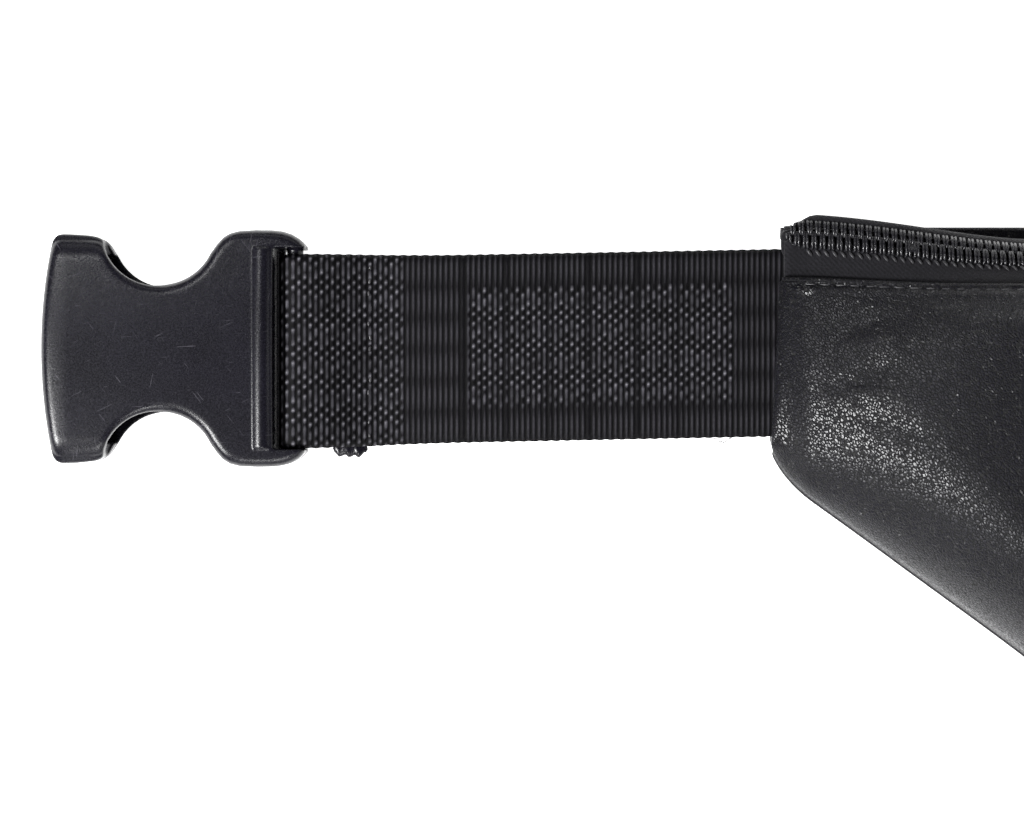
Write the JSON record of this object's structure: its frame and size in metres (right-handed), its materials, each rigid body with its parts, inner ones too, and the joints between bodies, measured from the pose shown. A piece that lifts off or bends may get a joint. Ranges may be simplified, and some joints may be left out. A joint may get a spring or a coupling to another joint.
{
  "type": "money belt",
  "caption": "Leather money belt with a tapered zipped pouch between webbing straps, a side-release buckle, and a folded adjustable strap with a keeper",
  "frame": {"origin": "centre of the pouch's flat back face, which lies on z = 0", "axes": "+X along the belt toward the male buckle, +Y toward the zip, +Z out of the pouch's front"},
  "size_m": [0.8158, 0.1415, 0.0265],
  "materials": {
    "pouch_leather": "soft pebble-grained leather, low sheen",
    "lining_cloth": "plain woven nylon",
    "zip_tape": "woven polyester tape",
    "zip_coil": "satin nylon coil",
    "slider_metal": "dark gunmetal enamel",
    "webbing": "heavy woven webbing, slight sheen",
    "keeper_elastic": "ribbed elastic",
    "buckle_plastic": "fine spark-textured satin"
  },
  "bodies": {
    "pouch": {"back_panel": "pouch_leather", "front_panel": "pouch_leather", "lining_back": "lining_cloth", "lining_front": "lining_cloth", "zip_tape_back": "zip_tape", "zip_coil_back": "zip_coil", "zip_end_left": "zip_tape", "zip_end_right": "zip_tape", "zip_stop_left": "slider_metal", "zip_stop_right": "slider_metal"},
    "lip": {"lip_facing": "pouch_leather", "zip_tape_front": "zip_tape", "zip_coil_front": "zip_coil"},
    "slider": {"slider_body": "slider_metal"},
    "puller": {"slider_puller": "slider_metal"},
    "left_strap": {"left_webbing": "webbing"},
    "female_buckle": {"female_buckle_shell": "buckle_plastic"},
    "right_strap": {"right_webbing": "webbing"},
    "adjuster": {"male_buckle_frame": "buckle_plastic", "right_webbing_turn": "webbing"},
    "tail": {"right_webbing_tail": "webbing"},
    "keeper": {"strap_keeper": "keeper_elastic"},
    "upper_prong": {"prong_upper": "buckle_plastic"},
    "lower_prong": {"prong_lower": "buckle_plastic"}
  },
  "joints": [
    {"name": "zip_slide", "type": "slide", "parent": "pouch", "child": "slider", "axis": [1, 0, 0], "range_m": [-0.27, 0]},
    {"name": "mouth_part", "type": "slide", "parent": "pouch", "child": "lip", "axis": [0, -0.766, 0.6428], "range_m": [0, 0.007]},
    {"name": "puller_swing", "type": "hinge", "parent": "slider", "child": "puller", "pos_m": [0.1405, 0.06535, 0.0138], "axis": [0, 0.766, -0.6428], "range_deg": [0, 160]},
    {"name": "left_strap_fold", "type": "hinge", "parent": "pouch", "child": "left_strap", "pos_m": [-0.1766, 0.045, 0.003], "axis": [0, 1, 0], "range_deg": [-90, 90]},
    {"name": "female_buckle_turn", "type": "hinge", "parent": "left_strap", "child": "female_buckle", "pos_m": [-0.2738, 0.045, 0.006], "axis": [0, 1, 0], "range_deg": [-50, 50]},
    {"name": "right_strap_fold", "type": "hinge", "parent": "pouch", "child": "right_strap", "pos_m": [0.1766, 0.045, 0.003], "axis": [0, -1, 0], "range_deg": [-90, 90]},
    {"name": "strap_adjust", "type": "slide", "parent": "right_strap", "child": "adjuster", "axis": [1, 0, 0], "range_m": [-0.08, 0]},
    {"name": "tail_run", "type": "slide", "parent": "adjuster", "child": "tail", "axis": [1, 0, 0], "range_m": [-0.08, 0]},
    {"name": "keeper_slide", "type": "slide", "parent": "tail", "child": "keeper", "axis": [1, 0, 0], "range_m": [-0.008, 0.012]},
    {"name": "prong_upper_flex", "type": "hinge", "parent": "adjuster", "child": "upper_prong", "pos_m": [0.4565, 0.06, 0.0071], "axis": [0, 0, -1], "range_deg": [0, 7], "stiffness_Nm_per_rad": 0.5},
    {"name": "prong_lower_flex", "type": "hinge", "parent": "adjuster", "child": "lower_prong", "pos_m": [0.4565, 0.03, 0.0071], "axis": [0, 0, 1], "range_deg": [0, 7], "stiffness_Nm_per_rad": 0.5}
  ],
  "couplings": [
    {"joint": "mouth_part", "follows": "zip_slide", "ratio": -0.025925},
    {"joint": "tail_run", "follows": "strap_adjust", "ratio": 1},
    {"joint": "prong_lower_flex", "follows": "prong_upper_flex", "ratio": 1}
  ]
}
